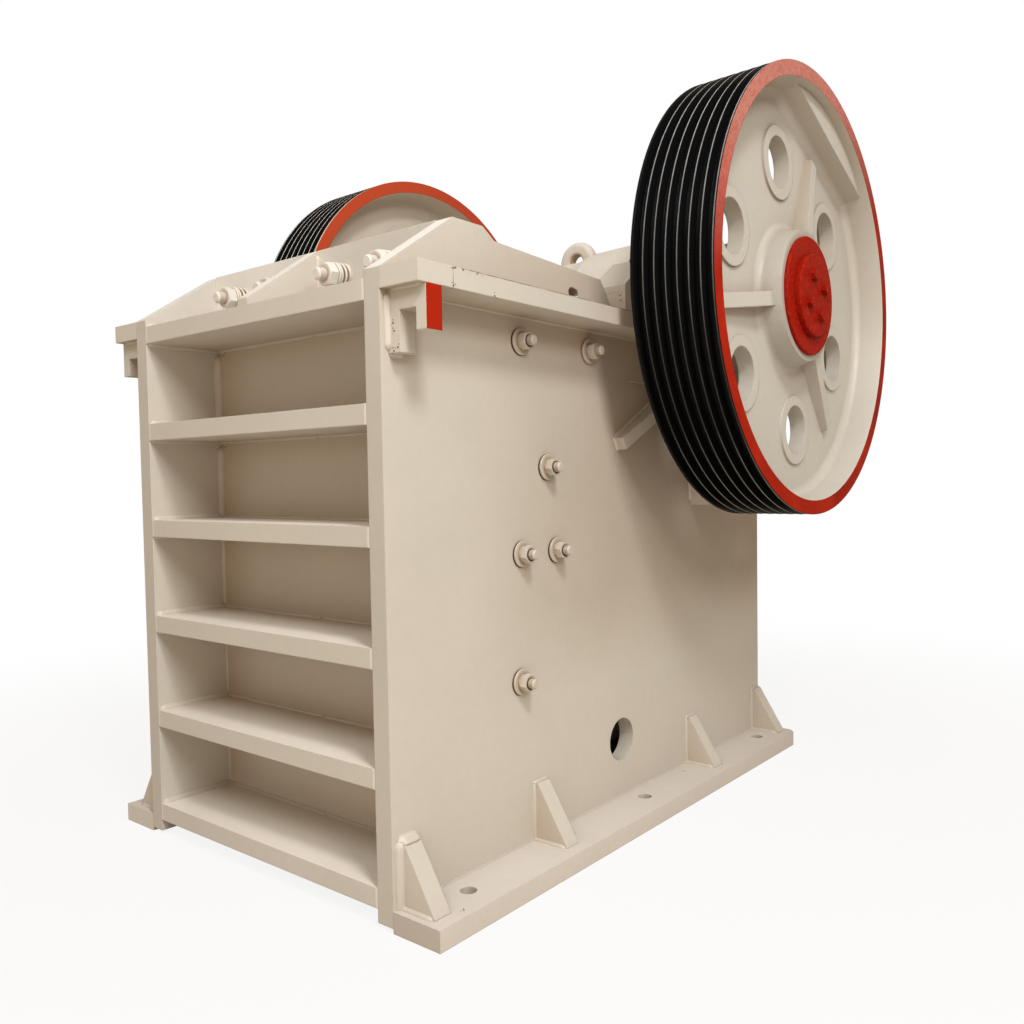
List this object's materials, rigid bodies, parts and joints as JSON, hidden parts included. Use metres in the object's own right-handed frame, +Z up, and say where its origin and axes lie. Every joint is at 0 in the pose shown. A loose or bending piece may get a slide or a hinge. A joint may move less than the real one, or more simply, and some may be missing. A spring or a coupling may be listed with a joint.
{
  "type": "jaw crusher",
  "caption": "Plate-framed jaw crusher with an open shelved front, grooved flywheels on an eccentric shaft, a swinging jaw, toggle plate and tension rods.",
  "frame": {"origin": "on the floor under the middle of the machine's overall length and width", "axes": "+X to the side with the right flywheel, seen from the shelved front, +Y from the front to the rear, +Z up"},
  "size_m": [2.094, 2.258, 2.442],
  "materials": {
    "frame_paint": "satin beige paint on welded plate",
    "casting_paint": "satin beige paint on a rough casting",
    "flywheel_paint": "satin beige paint, black belt grooves and red rim faces",
    "red_paint": "satin red paint",
    "manganese_steel": "bare cast wear steel",
    "raw_steel": "bare mill steel",
    "spring_steel": "black spring steel",
    "machined_steel": "turned steel"
  },
  "bodies": {
    "frame": {"adjusting_wedges": "raw_steel", "base_flange_left": "frame_paint", "base_flange_right": "frame_paint", "base_gussets_left": "frame_paint", "base_gussets_right": "frame_paint", "bearing_cap_left": "frame_paint", "bearing_cap_right": "frame_paint", "bearing_ribs_left": "frame_paint", "bearing_ribs_right": "frame_paint", "bearing_seat_left": "frame_paint", "bearing_seat_right": "frame_paint", "cheek_plates_left": "manganese_steel", "cheek_plates_right": "manganese_steel", "corner_bracket_left": "frame_paint", "corner_bracket_right": "frame_paint", "deck_flange_left": "frame_paint", "deck_flange_right": "frame_paint", "fixed_jaw_die": "manganese_steel", "front_rib": "frame_paint", "front_shelf_1": "frame_paint", "front_shelf_2": "frame_paint", "front_shelf_3": "frame_paint", "front_shelf_4": "frame_paint", "front_shelf_5": "frame_paint", "front_shelf_6": "frame_paint", "front_wall": "frame_paint", "rear_shelves": "frame_paint", "rear_wall": "frame_paint", "side_wall_left": "frame_paint", "side_wall_right": "frame_paint", "tension_rods": "frame_paint", "tension_springs": "spring_steel", "toggle_plate": "raw_steel", "toggle_seat": "frame_paint"},
    "rotor": {"eccentric_shaft": "machined_steel", "flywheel_right": "flywheel_paint", "flywheel_left": "flywheel_paint", "hub_disc_right": "red_paint", "hub_disc_left": "red_paint", "retainer_right": "red_paint", "retainer_left": "red_paint"},
    "pitman": {"pitman": "casting_paint", "moving_jaw_die": "manganese_steel", "lifting_eye": "casting_paint", "toggle_pad": "raw_steel"}
  },
  "joints": [
    {"name": "rotor_spin", "type": "hinge", "parent": "frame", "child": "rotor", "pos_m": [0, 0.395, 1.708], "axis": [1, 0, 0], "continuous": true},
    {"name": "pitman_orbit", "type": "hinge", "parent": "rotor", "child": "pitman", "pos_m": [0, 0.38955, 1.69402], "axis": [1, 0, 0], "continuous": true}
  ],
  "couplings": [
    {"joint": "pitman_orbit", "follows": "rotor_spin", "ratio": -1}
  ]
}
